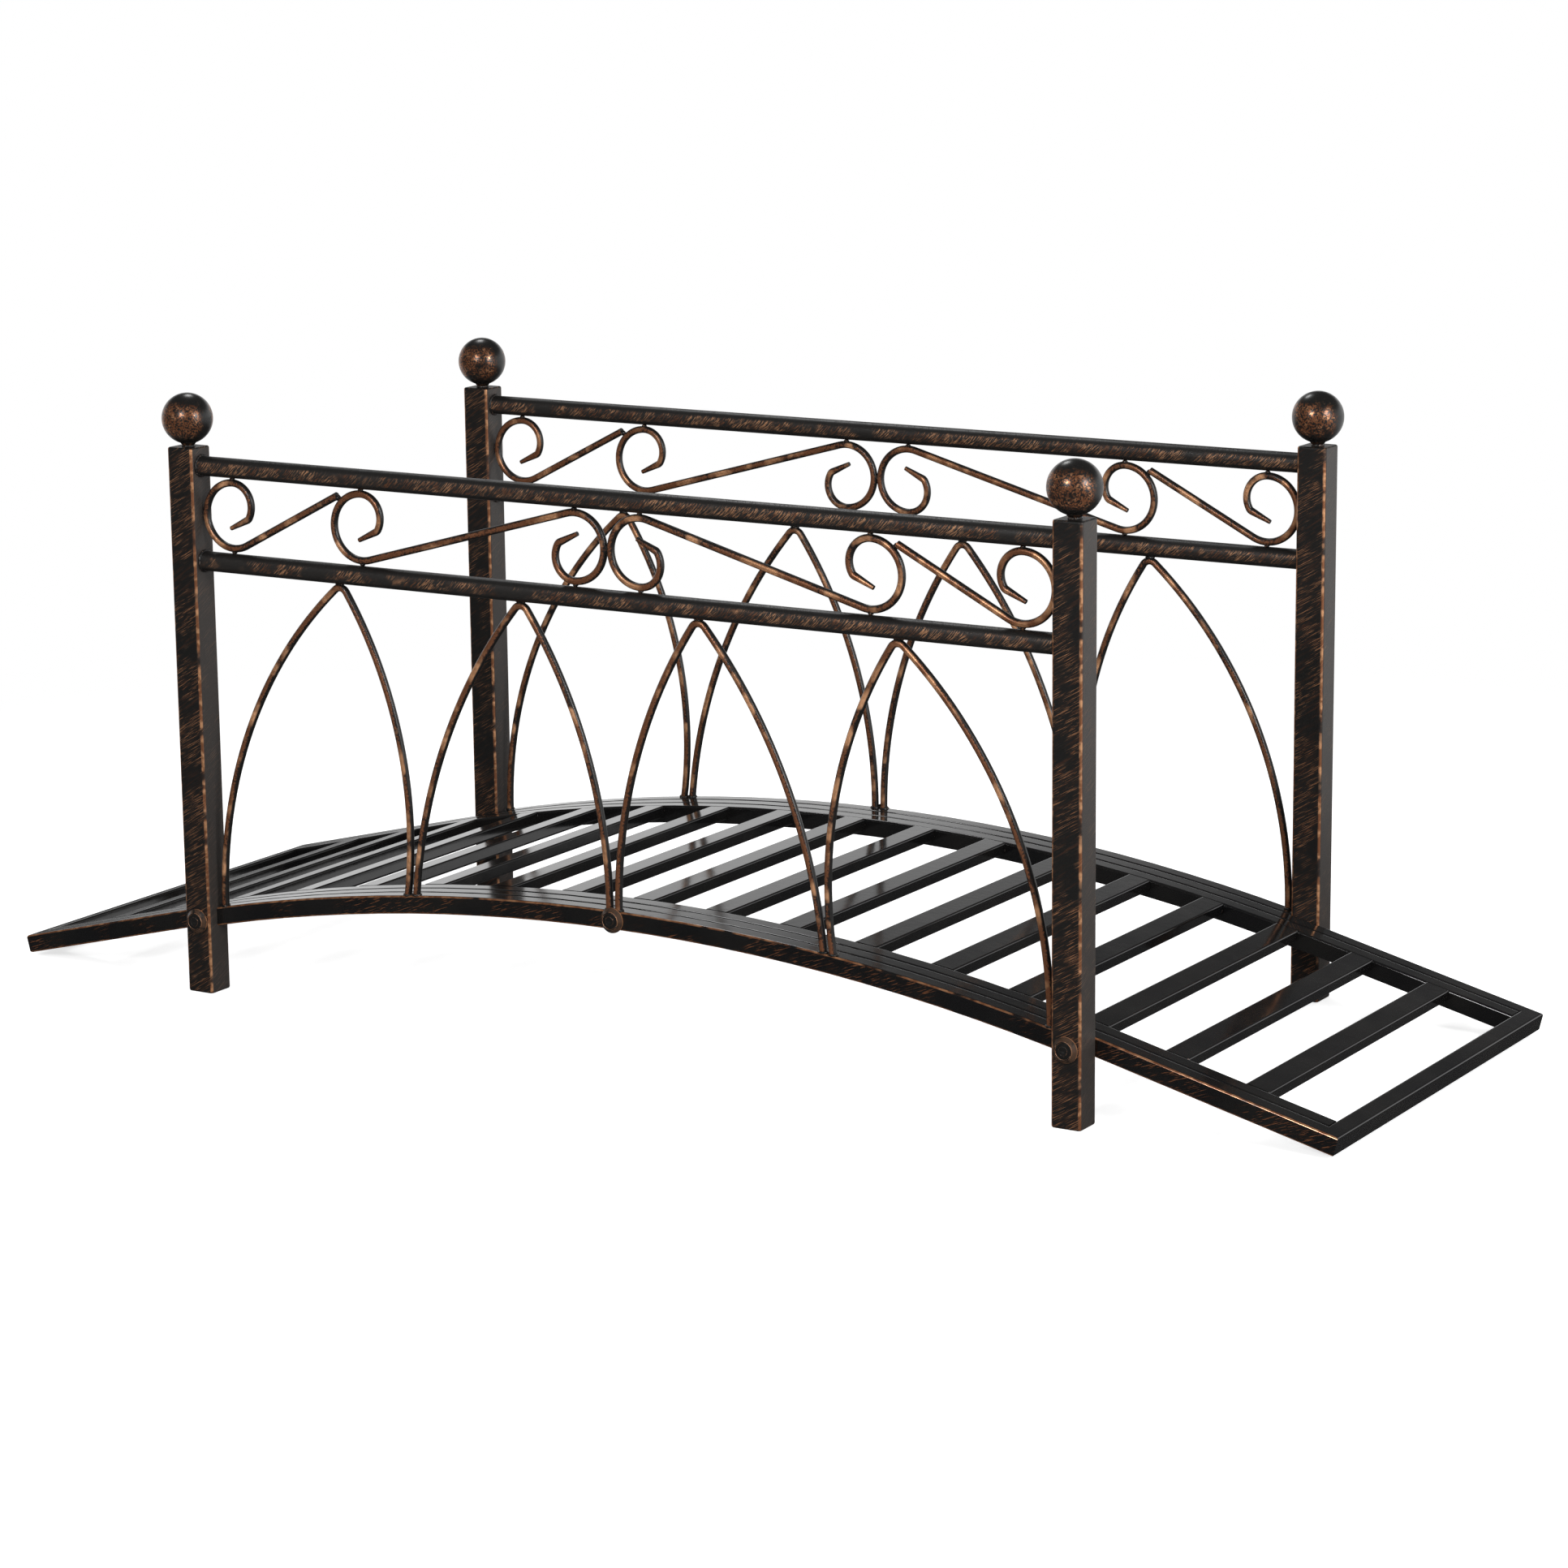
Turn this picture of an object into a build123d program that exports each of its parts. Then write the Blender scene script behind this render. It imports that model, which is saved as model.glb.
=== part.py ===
from math import asin, atan2, cos, degrees, hypot, radians, sin, sqrt
import os

from build123d import *

# A small garden moon bridge welded from steel tube and rod, in millimetres.
# +X runs along the bridge, +Y across it and +Z up. The ground is at Z = 0,
# and the side panel at -Y is called the front.

# Deck: a long arc whose two ends run out straight
deck_length = 1211.0
deck_width = 385.0
crown_height = 114.5
arc_radius = 1746.0
arc_half_length = 421.0
frame_tube = 15.0
frame_corner = 2.0
bar_straight_end = 3.0
tread_width = 20.0
tread_depth = 10.0
tread_corner = 1.6
tread_count = 17
tread_end_gap = 54.3

# Side panels
post_spacing = 800.0
post_size = 25.0
post_height = 449.5
post_corner = 3.0
post_end_round = 1.6
rail_diameter = 16.0
top_rail_drop = 15.0
rail_opening = 61.0
rod_diameter = 6.0
rod_inset = 0.5
weld_gap = 0.3

# Pointed arches, from mid length outwards
inner_apex_x = 81.0
middle_foot_x = 192.0
outer_apex_x = 254.0
outer_foot_gap = 4.0
foot_gap = 2.4
apex_radius = 7.0
inner_arch_inner_leg_bow = 18.0
inner_arch_outer_leg_bow = 19.8
outer_arch_inner_leg_bow = 22.1
outer_arch_outer_leg_bow = 31.9
foot_overrun = 4.0

# Scrolls between the two round rails
scroll_gap = 1.0
hook_radius = 18.2
long_scroll_x = 231.0
end_scroll_meet_angle = 134.0
hook_turn = 120.0
tip_bend_radius = 4.8
tip_bend_turn = 35.0
tip_length = 18.0
tip_diameter = 3.6
stub_diameter = 3.6

# Ball finials
ball_diameter = 41.0
neck_diameter = 14.0
neck_foot_diameter = 8.0
neck_height = 2.0
neck_overlap = 0.5

# Cap-headed bolts that hold the side panels to the deck
bolt_diameter = 6.0
bolt_clearance = 0.3
bolt_end_cover = 2.0
cap_diameter = 20.0
cap_face_diameter = 14.0
cap_edge = 1.0
cap_height = 4.6
cap_crown = 0.8

# Places worked out from the sizes above
post_x = post_spacing / 2
post_face_x = post_x - post_size / 2
panel_y = deck_width / 2 + post_size / 2
rod_radius = rod_diameter / 2
rail_radius = rail_diameter / 2
top_rail_z = post_height - top_rail_drop
middle_rail_z = top_rail_z - rail_opening - rail_diameter
outer_rail_y = deck_width / 2 - frame_tube / 2
inner_rail_y = outer_rail_y - frame_tube
lower_bar_y = outer_rail_y + frame_tube
rod_y = deck_width / 2 + frame_tube - rod_radius - rod_inset
half_tread_length = deck_width / 2 - 2 * frame_tube
arc_centre_z = crown_height - arc_radius
end_turn = asin(arc_half_length / arc_radius)
arc_run = end_turn * arc_radius
deck_run = arc_run + (deck_length / 2 - arc_half_length) / cos(end_turn)
last_tread_run = deck_run - frame_tube - tread_end_gap - tread_width / 2
tread_pitch = 2 * last_tread_run / (tread_count - 1)
frame_depth = frame_tube / 2
bolt_end_y = half_tread_length + bolt_end_cover
front_plane = Plane.XZ.offset(rod_y)

# Loops of the scrolls
loop_radius = (rail_opening - 2 * scroll_gap - rod_diameter) / 2
loop_z = middle_rail_z + rail_radius + rail_opening / 2
hook_start = 90 - hook_turn
stub_length = rod_radius + scroll_gap - weld_gap
end_loop = (-(post_face_x - weld_gap - rod_radius - loop_radius), loop_z)
outer_loop = (-long_scroll_x, loop_z)
inner_loop = (-(weld_gap / 2 + rod_radius + loop_radius), loop_z)

SIDES = ("front", "back")
ENDS = ("left", "right")


def deck_frame(run, depth=0.0):
    """Point, direction and outward normal at a distance along the deck and a depth below it."""
    sign = -1 if run < 0 else 1
    turn = min(abs(run), arc_run) / arc_radius
    rest = max(abs(run) - arc_run, 0)
    normal = Vector(sign * sin(turn), 0, cos(turn))
    direction = Vector(cos(turn), 0, -sign * sin(turn))
    on_arc = Vector(0, 0, arc_centre_z) + normal * (arc_radius - depth)
    return on_arc + direction * (sign * rest), direction, normal


def deck_height(x, depth=0.0):
    """Height of the deck line at x, on the arc or on its straight end."""
    radius = arc_radius - depth
    arc_end = radius * sin(end_turn)
    if abs(x) < arc_end:
        return arc_centre_z + sqrt(radius**2 - x**2)
    return arc_centre_z + radius * cos(end_turn) - (abs(x) - arc_end) * sin(end_turn) / cos(end_turn)


def cross_plane(run, depth):
    """Plane that faces the front, with its own y square to the deck."""
    origin, direction, _ = deck_frame(run, depth)
    return Plane(origin=origin, x_dir=direction, z_dir=(0, -1, 0))


def tube_section(y, run):
    """Section of a frame tube at y, at a distance along the deck."""
    origin, direction, _ = deck_frame(run, frame_depth)
    with BuildSketch(Plane(origin=origin + Vector(0, y, 0), x_dir=(0, 1, 0), z_dir=direction)) as section:
        RectangleRounded(frame_tube, frame_tube, frame_corner)
    return section.sketch


def deck_tube(y, bent_run, straight_run):
    """Frame tube at y, bent along the deck out to a distance each way and straight from there."""
    bend_axis = Axis((0, 0, arc_centre_z), (0, 1, 0))
    with BuildPart() as tube:
        revolve(tube_section(y, -bent_run), axis=bend_axis, revolution_arc=degrees(2 * bent_run / arc_radius))
        for sign in (-1, 1):
            extrude(tube_section(y, sign * bent_run), amount=sign * straight_run)
    return tube.part


def mitre_plane(end_sign, side_sign):
    """Upright plane through a corner of the deck, halfway between side tube and end bar."""
    origin, direction, _ = deck_frame(end_sign * deck_run)
    across = Vector(0, side_sign, 0)
    return Plane(origin=origin + across * (deck_width / 2), z_dir=direction * end_sign - across)


def around(centre, radius, angle):
    """Point at an angle in degrees round a centre."""
    return (centre[0] + radius * cos(radians(angle)), centre[1] + radius * sin(radians(angle)))


def angle_to(centre, target, lowest=-180):
    """Angle in degrees from one point to another, counted up from a lowest angle."""
    angle = degrees(atan2(target[1] - centre[1], target[0] - centre[0]))
    return (angle - lowest) % 360 + lowest


def leg_arc(foot, apex, bow, side):
    """Centre and radius of an arch leg that bows from its foot smoothly into the apex bend."""
    gap_x = apex[0] - foot[0]
    gap_z = apex[1] - foot[1]
    gap = hypot(gap_x, gap_z)
    leg_radius = (gap**2 / 4 + bow**2) / (2 * bow)
    along = (leg_radius**2 - (leg_radius - apex_radius) ** 2 + gap**2) / (2 * gap)
    off = side * sqrt(leg_radius**2 - along**2)
    centre = (
        foot[0] + (along * gap_x + off * gap_z) / gap,
        foot[1] + (along * gap_z - off * gap_x) / gap,
    )
    return centre, leg_radius


def arch_wire(left_foot_x, apex_x, right_foot_x, left_bow, right_bow):
    """Centre line of one pointed arch in the front panel, from foot to foot."""
    apex = (apex_x, middle_rail_z - rail_radius - weld_gap - rod_radius - apex_radius)
    left_foot = (left_foot_x, deck_height(left_foot_x))
    right_foot = (right_foot_x, deck_height(right_foot_x))
    left, left_leg_radius = leg_arc(left_foot, apex, left_bow, 1)
    right, right_leg_radius = leg_arc(right_foot, apex, right_bow, -1)
    left_start = angle_to(left, left_foot, 0) + degrees(foot_overrun / left_leg_radius)
    left_top = angle_to(left, apex, 0)
    right_top = angle_to(right, apex)
    right_stop = angle_to(right, right_foot) - degrees(foot_overrun / right_leg_radius)
    with BuildLine(front_plane) as line:
        CenterArc(left, left_leg_radius, left_start, left_top - left_start)
        CenterArc(apex, apex_radius, left_top, right_top - left_top)
        CenterArc(right, right_leg_radius, right_top, right_stop - right_top)
    return line.wire()


def curl_bend(centre, turn):
    """Centre of the tight bend at the root of a scroll's tip."""
    hook = around(centre, loop_radius - hook_radius, 90 + turn)
    return around(hook, hook_radius - tip_bend_radius, hook_start + turn)


def curl_arcs(centre, turn, rise):
    """Arcs of one scroll end, from the root of its tip out to the straight run."""
    hook = around(centre, loop_radius - hook_radius, 90 + turn)
    return (
        (curl_bend(centre, turn), tip_bend_radius, hook_start - tip_bend_turn + turn, tip_bend_turn),
        (hook, hook_radius, hook_start + turn, hook_turn),
        (centre, loop_radius, 90 + turn, 180 + rise),
    )


def tip_sections(centre, turn):
    """Planes across a scroll's tip and the diameters there, at its root and at its end."""
    angle = hook_start - tip_bend_turn + turn
    root = around(curl_bend(centre, turn), tip_bend_radius, angle)
    end = around(root, tip_length, angle - 90)
    root_point = front_plane.from_local_coords(Vector(*root, 0))
    end_point = front_plane.from_local_coords(Vector(*end, 0))
    direction = end_point - root_point
    return (
        (Plane(origin=root_point, z_dir=direction), rod_diameter),
        (Plane(origin=end_point, z_dir=direction), tip_diameter),
    )


def end_scroll_wire():
    """Centre line of the short scroll beside the left front post."""
    reach = loop_radius + rod_diameter + weld_gap
    stop = around(outer_loop, reach, end_scroll_meet_angle)
    distance = hypot(stop[0] - end_loop[0], stop[1] - end_loop[1])
    rise = angle_to(end_loop, stop) + degrees(asin(loop_radius / distance))
    with BuildLine(front_plane) as line:
        for centre, radius, start, size in curl_arcs(end_loop, 0, rise):
            CenterArc(centre, radius, start, size)
        Line(around(end_loop, loop_radius, 270 + rise), stop)
    return line.wire()


def long_scroll_wire():
    """Centre line of the long double scroll in the left half of the front panel."""
    rise = degrees(asin(2 * loop_radius / (inner_loop[0] - outer_loop[0])))
    with BuildLine(front_plane) as line:
        for centre, radius, start, size in curl_arcs(outer_loop, 0, rise):
            CenterArc(centre, radius, start, size)
        Line(around(outer_loop, loop_radius, 270 + rise), around(inner_loop, loop_radius, 90 + rise))
        for centre, radius, start, size in reversed(curl_arcs(inner_loop, 180, rise)):
            CenterArc(centre, radius, start + size, -size)
    return line.wire()


def rod_section(wire):
    """Round section at the start of a rod's centre line."""
    with BuildSketch(Plane(origin=wire @ 0, z_dir=wire % 0)) as section:
        Circle(rod_radius)
    return section.sketch


def bolt_places():
    """Bolt axes of the front panel, as x, z and the distance from mid width to the head's seat."""
    post_bolt_z = deck_height(post_x, frame_depth)
    crown_bolt_z = deck_height(0, frame_depth)
    return (
        (-post_x, post_bolt_z, deck_width / 2 + post_size),
        (0, crown_bolt_z, deck_width / 2 + frame_tube),
        (post_x, post_bolt_z, deck_width / 2 + post_size),
    )


def bolt_holes():
    """Sections of the bolt holes of the front panel, at the depth where the holes end."""
    with BuildSketch(Plane.XZ.offset(bolt_end_y - bolt_clearance)) as section:
        with Locations(*[(x, z) for x, z, _ in bolt_places()]):
            Circle(bolt_diameter / 2 + bolt_clearance)
    return section.sketch


def save(part, name):
    part.label = name
    export_step(part, f"parts/{name}.step")


def save_quarters(part, name):
    """Write a piece of the front left quarter and its mirror images in the other three."""
    for side in SIDES:
        for end in ENDS:
            with BuildPart() as piece:
                if (side, end) == ("front", "left"):
                    add(part)
                elif side == "front":
                    mirror(part, about=Plane.YZ)
                elif end == "left":
                    mirror(part, about=Plane.XZ)
                else:
                    add(part.rotate(Axis.Z, 180))
            save(piece.part, f"{side}_{end}_{name}")


def save_sides(part, name):
    """Write a piece of the front and its mirror image at the back."""
    with BuildPart() as opposite:
        mirror(part, about=Plane.XZ)
    save(part, f"front_{name}")
    save(opposite.part, f"back_{name}")


os.makedirs("parts", exist_ok=True)
drill = bolt_holes()
drill_depth = deck_width / 2 + post_size

# Square posts, with rounded edges at the top and at the foot
with BuildPart() as post:
    with BuildSketch():
        with Locations((-post_x, -panel_y)):
            RectangleRounded(post_size, post_size, post_corner)
    extrude(amount=post_height)
    fillet(post.faces().filter_by(Axis.Z).edges(), post_end_round)
    extrude(drill, amount=drill_depth, mode=Mode.SUBTRACT)
save_quarters(post.part, "post")

# Steel balls on short necks, welded to the post tops
ball_z = post_height + neck_height + ball_diameter / 2
neck_rise = neck_height + ball_diameter / 2 - sqrt(ball_diameter**2 - neck_diameter**2) / 2
with BuildPart() as ball:
    with Locations((-post_x, -panel_y, ball_z)):
        Sphere(ball_diameter / 2)
    with Locations((-post_x, -panel_y, post_height)):
        Cone(
            bottom_radius=neck_foot_diameter / 2,
            top_radius=neck_diameter / 2,
            height=neck_rise + neck_overlap,
            align=(Align.CENTER, Align.CENTER, Align.MIN),
        )
save_quarters(ball.part, "ball")

# Round rails between the posts' inner faces
for height, name in ((top_rail_z, "top_rail"), (middle_rail_z, "middle_rail")):
    with BuildPart() as rail:
        with BuildSketch(Plane.YZ.offset(-post_face_x)):
            with Locations((-panel_y, height)):
                Circle(rail_radius)
        extrude(amount=2 * post_face_x)
    save_sides(rail.part, name)

# Curved lower bars of the side panels, cut upright where they meet the posts
bar_bent_run = asin((post_face_x - bar_straight_end) / arc_radius) * arc_radius
with BuildPart() as plain_bar:
    add(deck_tube(-lower_bar_y, bar_bent_run, 2 * frame_tube))
    split(bisect_by=Plane.YZ.offset(post_face_x), keep=Keep.BOTTOM)
    split(bisect_by=Plane.YZ.offset(-post_face_x), keep=Keep.TOP)
with BuildPart() as lower_bar:
    add(plain_bar.part)
    extrude(drill, amount=drill_depth, mode=Mode.SUBTRACT)
save_sides(lower_bar.part, "lower_bar")

# Pointed arches of bent rod, seated on the lower bars and reaching the middle rails
foot_offset = rod_radius + foot_gap / 2
arches = (
    (
        "outer_arch",
        arch_wire(
            -(post_face_x - outer_foot_gap - rod_radius),
            -outer_apex_x,
            -(middle_foot_x + foot_offset),
            outer_arch_outer_leg_bow,
            outer_arch_inner_leg_bow,
        ),
    ),
    (
        "inner_arch",
        arch_wire(
            -(middle_foot_x - foot_offset),
            -inner_apex_x,
            -foot_offset,
            inner_arch_outer_leg_bow,
            inner_arch_inner_leg_bow,
        ),
    ),
)
for name, arch_line in arches:
    with BuildPart() as arch:
        sweep(rod_section(arch_line), path=arch_line)
        add(plain_bar.part, mode=Mode.SUBTRACT)
    save_quarters(arch.part, name)

# Scrolls of bent rod with tapered tips, held to the rails by small welds
scrolls = (
    ("end_scroll", end_scroll_wire(), ((end_loop, 0),)),
    ("long_scroll", long_scroll_wire(), ((outer_loop, 0), (inner_loop, 180))),
)
for name, scroll_line, loops in scrolls:
    with BuildPart() as scroll:
        sweep(rod_section(scroll_line), path=scroll_line)
        for loop, turn in loops:
            for plane, diameter in tip_sections(loop, turn):
                with BuildSketch(plane):
                    Circle(diameter / 2)
            loft()
            for way in (-1, 1):
                with BuildSketch(Plane.XY.offset(loop_z + way * loop_radius)):
                    with Locations((loop[0], -rod_y)):
                        Circle(stub_diameter / 2)
                extrude(amount=way * stub_length)
    save_quarters(scroll.part, name)

# Deck frame: outer tubes mitred to the end bars, inner tubes butted against them
with BuildPart() as outer_tube:
    add(deck_tube(-outer_rail_y, arc_run, deck_run - arc_run))
    for end_sign in (-1, 1):
        split(bisect_by=mitre_plane(end_sign, -1), keep=Keep.BOTTOM)
    extrude(drill, amount=drill_depth, mode=Mode.SUBTRACT)
save_sides(outer_tube.part, "outer_deck_rail")

with BuildPart() as inner_tube:
    add(deck_tube(-inner_rail_y, arc_run, deck_run - frame_tube - arc_run))
    extrude(drill, amount=drill_depth, mode=Mode.SUBTRACT)
save_sides(inner_tube.part, "inner_deck_rail")

for end, end_sign in (("left", -1), ("right", 1)):
    with BuildPart() as end_bar:
        with BuildSketch(cross_plane(end_sign * (deck_run - frame_tube / 2), frame_depth)):
            RectangleRounded(frame_tube, frame_tube, frame_corner)
        extrude(amount=deck_width / 2, both=True)
        for side_sign in (-1, 1):
            split(bisect_by=mitre_plane(end_sign, side_sign), keep=Keep.TOP)
    save(end_bar.part, f"{end}_end_bar")

# Treads between the inner tubes, level with their tops and square to the curve
with BuildPart() as treads:
    for number in range(tread_count):
        run = (number - (tread_count - 1) / 2) * tread_pitch
        with BuildSketch(cross_plane(run, tread_depth / 2)):
            RectangleRounded(tread_width, tread_depth, tread_corner)
        extrude(amount=half_tread_length, both=True)
save(treads.part, "treads")

# Bolts with broad round caps, through the side panels into the deck frame
with BuildPart() as bolts:
    for x, z, seat in bolt_places():
        with BuildSketch(Plane(origin=(x, -seat, z), x_dir=(1, 0, 0), z_dir=(0, 0, 1))):
            with BuildLine():
                Polyline(
                    (cap_face_diameter / 2, -cap_height + cap_crown),
                    (cap_diameter / 2, -cap_edge),
                    (cap_diameter / 2, 0),
                    (bolt_diameter / 2, 0),
                    (bolt_diameter / 2, seat - bolt_end_y),
                    (0, seat - bolt_end_y),
                    (0, -cap_height),
                )
                TangentArc(
                    (0, -cap_height), (cap_face_diameter / 2, -cap_height + cap_crown), tangent=(1, 0)
                )
            make_face()
        revolve(axis=Axis((x, 0, z), (0, 1, 0)))
save_sides(bolts.part, "bolts")
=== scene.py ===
"""Finish, welds, studio and camera for a small garden moon bridge of steel tube and rod."""

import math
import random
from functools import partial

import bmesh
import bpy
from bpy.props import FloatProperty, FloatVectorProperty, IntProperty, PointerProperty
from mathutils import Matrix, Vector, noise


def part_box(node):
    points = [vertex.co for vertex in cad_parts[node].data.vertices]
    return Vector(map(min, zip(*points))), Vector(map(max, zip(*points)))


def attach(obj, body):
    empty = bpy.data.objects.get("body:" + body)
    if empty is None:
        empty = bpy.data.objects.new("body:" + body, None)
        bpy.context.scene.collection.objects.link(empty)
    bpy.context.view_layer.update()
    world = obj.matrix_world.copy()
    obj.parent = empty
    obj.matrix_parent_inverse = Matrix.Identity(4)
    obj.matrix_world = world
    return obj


bl_info = {
    "name": "Garden Moon Bridge",
    "version": (1, 0, 0),
    "blender": (4, 5, 0),
    "location": "View3D > Sidebar > Moon Bridge",
    "description": "Dresses the bridge in brushed copper over black, with welds and bolt caps",
    "category": "Object",
}

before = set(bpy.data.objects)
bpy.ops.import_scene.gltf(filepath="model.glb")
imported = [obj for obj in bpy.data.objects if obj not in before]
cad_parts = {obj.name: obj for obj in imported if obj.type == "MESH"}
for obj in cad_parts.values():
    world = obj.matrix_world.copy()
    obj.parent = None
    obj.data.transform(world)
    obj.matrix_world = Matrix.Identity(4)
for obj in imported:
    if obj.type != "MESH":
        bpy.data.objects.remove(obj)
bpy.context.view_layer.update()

MM = 0.001
SIDES = ("front", "back")
ENDS = ("left", "right")
UPWARD = Vector((0, 0, 1))
ALONG_BRIDGE = Vector((1, 0, 0))
WHITE = (1, 1, 1, 1)

# Length over which the deck's copper fades in, in mm.
COPPER_FADE = 4

# Finishes that several pieces share.
WELD_FINISH = "powder_coated_arc_weld"
ROD_FINISH = "powder_coated_steel_copper_brushed_rod_painted_edge_shade"


def linear(hex_colour):
    """Linear colour from an sRGB hex value."""
    channels = [int(hex_colour[i : i + 2], 16) / 255 for i in (1, 3, 5)]
    return tuple(
        c / 12.92 if c <= 0.04045 else ((c + 0.055) / 1.055) ** 2.4 for c in channels
    )


def colour_value(name, description, hex_colour):
    return FloatVectorProperty(
        name=name,
        description=description,
        subtype="COLOR",
        default=linear(hex_colour),
        min=0,
        max=1,
    )


def millimetres(name, description, value):
    return FloatProperty(name=name, description=f"{description}, in mm", default=value, min=0)


def metres(name, description, value):
    return FloatProperty(name=name, description=description, default=value, unit="LENGTH")


def degrees(name, description, value):
    return FloatProperty(name=name, description=f"{description}, in degrees", default=value)


class BridgeFinish(bpy.types.PropertyGroup):
    """Colours of the coats and the copper rubbed over them, with one painted sheen grey."""

    coat: colour_value("Powder coat", "Satin black of posts, rails and rods", "#171615")
    # Painted sheen: the worn coat below is a lighter grey put on the posts' faces along the
    # bridge and on the rails' sides, standing in for the light that falls there.
    painted_sheen_grey: colour_value("Worn coat", "Greyer coat where the brush only dusted it", "#3d3835")
    deck_coat: colour_value("Deck coat", "Glossier black of the deck tubes and slats", "#0e0e0f")
    copper_dark: colour_value("Dark copper", "Thin copper at the edge of a stroke", "#482d1f")
    copper: colour_value("Copper", "Body of the brushed copper", "#8a5a3e")
    copper_bright: colour_value("Bright copper", "Thick copper on the corners", "#d9a176")
    steel_glint: colour_value("Weld glint", "Bare metal at the peaks of a weld", "#8d8a86")


class BridgeWelds(bpy.types.PropertyGroup):
    """Sizes of the weld beads, in millimetres."""

    rail_bead: millimetres("Rail bead", "Radius of the bead round a rail's end", 1.1)
    foot_bead: millimetres("Foot bead", "Radius of the bead round a rod's foot", 1.0)
    neck_bead: millimetres("Neck bead", "Radius of the bead under a ball", 1.3)
    blob: millimetres("Scroll weld", "Radius of the welds between scrolls and rails", 2.3)
    seed: IntProperty(name="Seed", description="Order of the uneven welds", default=7)


class BridgeStudio(bpy.types.PropertyGroup):
    """Camera and light."""

    azimuth: degrees("Azimuth", "Camera bearing", 31.42)
    elevation: degrees("Elevation", "Camera height above level", 12.39)
    roll: degrees("Roll", "Camera roll", -0.649)
    lens: FloatProperty(name="Lens", description="Focal length in mm", default=104.09)
    distance: metres("Distance", "Camera to the aim point", 3.6511)
    aim_height: metres("Aim height", "Aim point above the ground", 0.2)
    shift_right: metres("Right", "Camera moved right", 0.0256)
    shift_up: metres("Up", "Camera moved up", -0.0251)
    lamp_power: FloatProperty(
        name="Lamps", description="Power of each front lamp", default=30, unit="POWER"
    )
    panel_power: FloatProperty(
        name="Side panel", description="Power of the panel at the right", default=22, unit="POWER"
    )
    fill: FloatProperty(
        name="Fill", description="Strength of the room's light", default=0.55
    )


# Material tools

# Settings of the sums that the finishes are built from. A SMOOTH MapRange goes from 0 at
# its first number to 1 at its second. Every noise has its size in real millimetres.
TIMES = {"operation": "MULTIPLY"}
PLUS = {"operation": "ADD"}
LESS = {"operation": "SUBTRACT"}
HIGHER = {"operation": "MAXIMUM"}
LOWER = {"operation": "MINIMUM"}
SMOOTH = {"interpolation_type": "SMOOTHSTEP"}
COLOURS = {"data_type": "RGBA", "clamp_factor": True}

# Sockets of a colour mix: how much, the colour at 0 and the colour at 1, and the result.
SHARE, UNDER, OVER, BLEND = 0, 6, 7, 2


def fill_sockets(tree, node, inputs):
    """Give a node's sockets their values or links, by name or by place."""
    for key, value in inputs.items():
        if isinstance(value, bpy.types.NodeSocket):
            tree.links.new(value, node.inputs[key])
        else:
            node.inputs[key].default_value = value


def add_node(tree, kind, inputs=(), **settings):
    """Add one node with its settings and links, and give its outputs."""
    made = tree.nodes.new("ShaderNode" + kind)
    for name, value in settings.items():
        setattr(made, name, value)
    fill_sockets(tree, made, inputs if isinstance(inputs, dict) else dict(enumerate(inputs)))
    return made.outputs


def per_mm(size):
    """Scale that makes the features of a pattern about a size in millimetres."""
    return 1 / (size * MM)


def solid(colour):
    return (*colour, 1.0)


class Surface:
    """A material with the place and direction of the surface ready to use."""

    def __init__(self, name):
        self.material = bpy.data.materials.new(name)
        self.material.use_nodes = True
        tree = self.material.node_tree
        self.add = add = partial(add_node, tree)
        self.finish = partial(fill_sockets, tree, tree.nodes["Principled BSDF"])
        self.place = add("TexCoord")["Object"]
        normal = add("NewGeometry")["Normal"]
        self.normal = add("SeparateXYZ", (normal,))
        facing = add("VectorMath", (normal,), operation="ABSOLUTE")[0]
        self.facing = add("SeparateXYZ", (facing,))
        self.at = add("SeparateXYZ", (self.place,))

    def strokes(self, angle, length, width, offset=0.0):
        """Noise drawn out into brush strokes, sizes in mm, at an angle above level."""
        add, at = self.add, self.at
        along = add("Math", (at["X"], at["Y"]), **PLUS)[0]
        flat = add("CombineXYZ", (along, at["Z"], offset))[0]
        tilt = {"Vector": flat, "Angle": math.radians(-angle)}
        turned = add("VectorRotate", tilt, rotation_type="Z_AXIS")[0]
        drawn_out = add("VectorMath", (turned, (per_mm(length), per_mm(width), 1)), **TIMES)[0]
        fray = {"Vector": drawn_out, "Scale": 1.0, "Detail": 2.5, "Roughness": 0.6}
        return add("TexNoise", fray)[0]


def rubbed(surface, colours, amount, bright):
    """Colour of copper rubbed over the powder coat, by how much lies there."""
    add = surface.add
    touched = add("MapRange", (amount, 0.05, 0.4), **SMOOTH)[0]
    thin = {SHARE: touched, UNDER: solid(colours.coat), OVER: solid(colours.copper_dark)}
    thin = add("Mix", thin, **COLOURS)[BLEND]
    covered = add("MapRange", (amount, 0.35, 0.8), **SMOOTH)[0]
    full = {SHARE: covered, UNDER: thin, OVER: solid(colours.copper)}
    full = add("Mix", full, **COLOURS)[BLEND]
    thick = {SHARE: bright, UNDER: full, OVER: solid(colours.copper_bright)}
    return add("Mix", thick, **COLOURS)[BLEND]


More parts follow.
